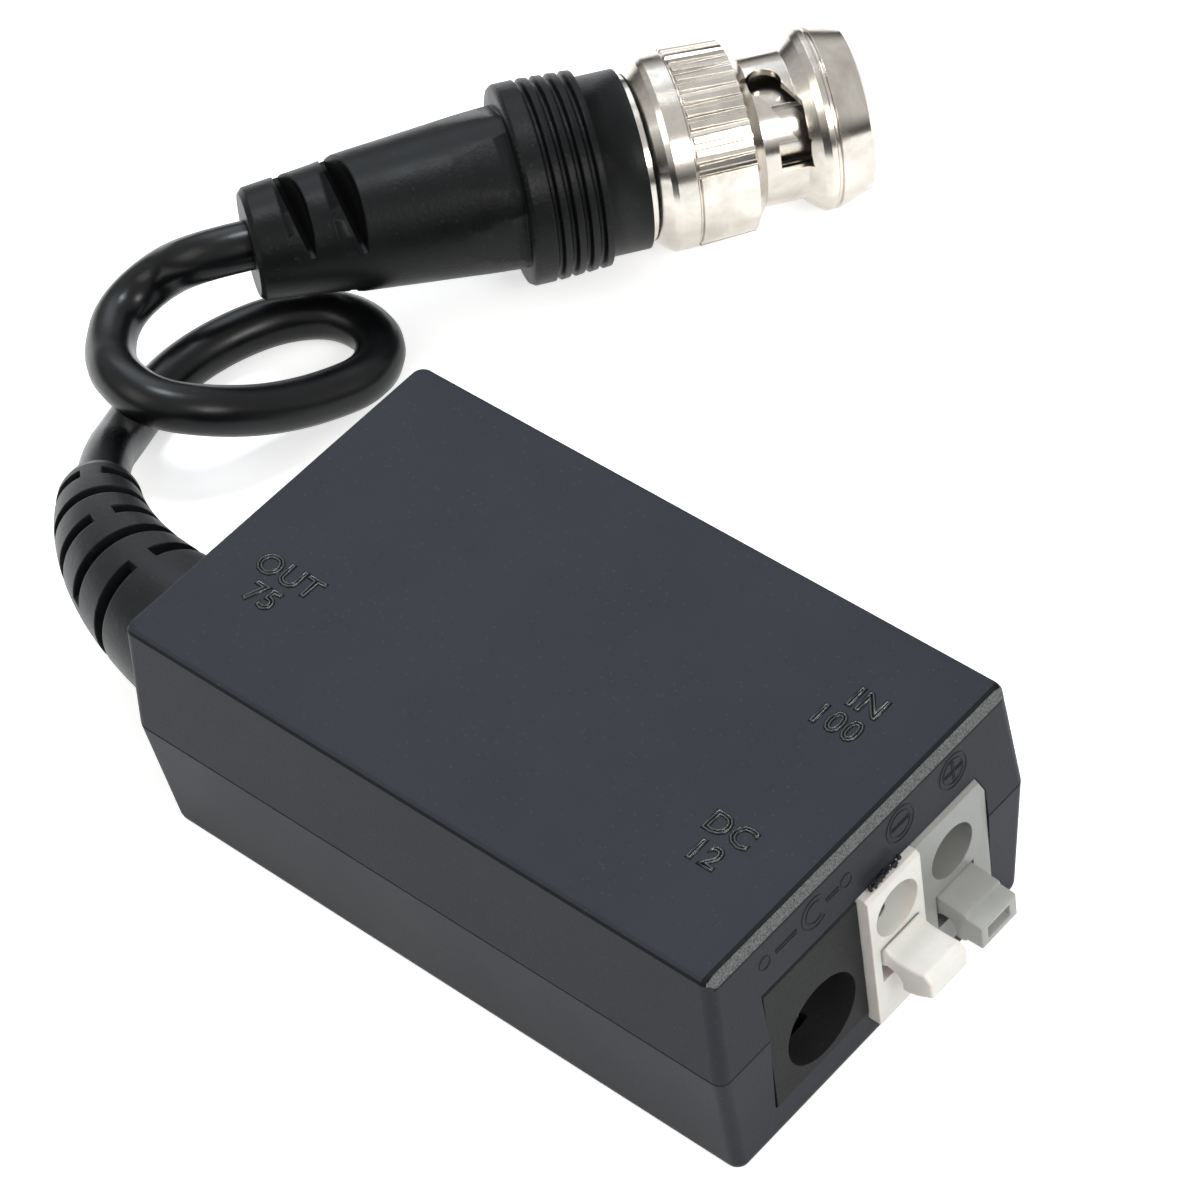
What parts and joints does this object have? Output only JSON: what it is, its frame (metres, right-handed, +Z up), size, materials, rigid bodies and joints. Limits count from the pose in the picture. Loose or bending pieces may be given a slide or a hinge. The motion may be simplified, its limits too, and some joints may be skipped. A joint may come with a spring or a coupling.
{
  "type": "cctv video balun",
  "caption": "Small two-part case with a power socket and two lever wire terminals at one end, and a short moulded cable with a bayonet video plug at the other.",
  "frame": {"origin": "middle of the case's underside, on the floor plane", "axes": "+X along the case towards the power socket and terminals, +Y across it, +Z up from the underside"},
  "size_m": [0.0878, 0.0781, 0.0192],
  "materials": {
    "case_black": "satin with a fine moulded texture",
    "board_green": "solder mask",
    "socket_black": "smooth moulded",
    "contact_metal": "tinned",
    "terminal_white": "smooth moulded nylon",
    "terminal_light_grey": "smooth moulded nylon",
    "lever_grey": "smooth moulded nylon",
    "ferrite": "sintered",
    "copper_wire": "enamelled",
    "can_sleeve": "shrink sleeve",
    "chip_black": "moulded",
    "relief_black": "satin",
    "cable_black": "smooth glossy jacket",
    "lead_cover": "smooth",
    "nickel": "bright nickel plate",
    "spring_steel": "bare",
    "insulator_white": "smooth fluoroplastic",
    "gasket_red": "smooth",
    "gold": "gold plate"
  },
  "bodies": {
    "housing": {"top_cover": "case_black", "bottom_cover": "case_black", "circuit_board": "board_green", "power_jack_housing": "socket_black", "power_jack_pin": "contact_metal", "power_jack_contact": "contact_metal", "terminal_body_white": "terminal_white", "terminal_body_grey": "terminal_light_grey", "terminal_clamp_white": "contact_metal", "terminal_clamp_grey": "contact_metal", "transformer_core": "ferrite", "balun_winding": "copper_wire", "capacitor_1": "can_sleeve", "capacitor_2": "can_sleeve", "amplifier_chip": "chip_black", "regulator": "chip_black", "chip_resistors": "chip_black", "strain_relief": "relief_black", "cable_tail": "cable_black", "signal_lead": "lead_cover", "shield_lead": "contact_metal", "cable": "cable_black", "plug_boot": "relief_black", "crimp_ferrule": "nickel", "cable_core": "lead_cover", "plug_body": "nickel", "retaining_ring": "nickel", "spring_washer": "spring_steel", "gasket": "gasket_red", "plug_insulator": "insulator_white", "centre_pin": "gold"},
    "white_lever": {"lever_white": "terminal_white"},
    "grey_lever": {"lever_grey": "lever_grey"},
    "sleeve_carrier": {"thrust_washer": "spring_steel"},
    "sleeve": {"coupling_sleeve": "nickel"}
  },
  "joints": [
    {"name": "white_lever_hinge", "type": "hinge", "parent": "housing", "child": "white_lever", "pos_m": [0.0231, 0.00135, 0.00815], "axis": [0, 1, 0], "range_deg": [0, 18], "stiffness_Nm_per_rad": 0.06, "springref_deg": -11.46},
    {"name": "grey_lever_hinge", "type": "hinge", "parent": "housing", "child": "grey_lever", "pos_m": [0.0226, 0.00735, 0.00685], "axis": [0, 1, 0], "range_deg": [0, 18], "stiffness_Nm_per_rad": 0.06, "springref_deg": -11.46},
    {"name": "sleeve_slide", "type": "slide", "parent": "housing", "child": "sleeve_carrier", "axis": [0.5554, 0.8297, -0.0562], "range_m": [0, 0.001], "stiffness_N_per_m": 6000, "springref_m": -0.0005, "deforming": ["spring_washer"]},
    {"name": "sleeve_turn", "type": "hinge", "parent": "sleeve_carrier", "child": "sleeve", "pos_m": [-0.0339, 0.04733, 0.00781], "axis": [0.5554, 0.8297, -0.0562], "continuous": true}
  ]
}
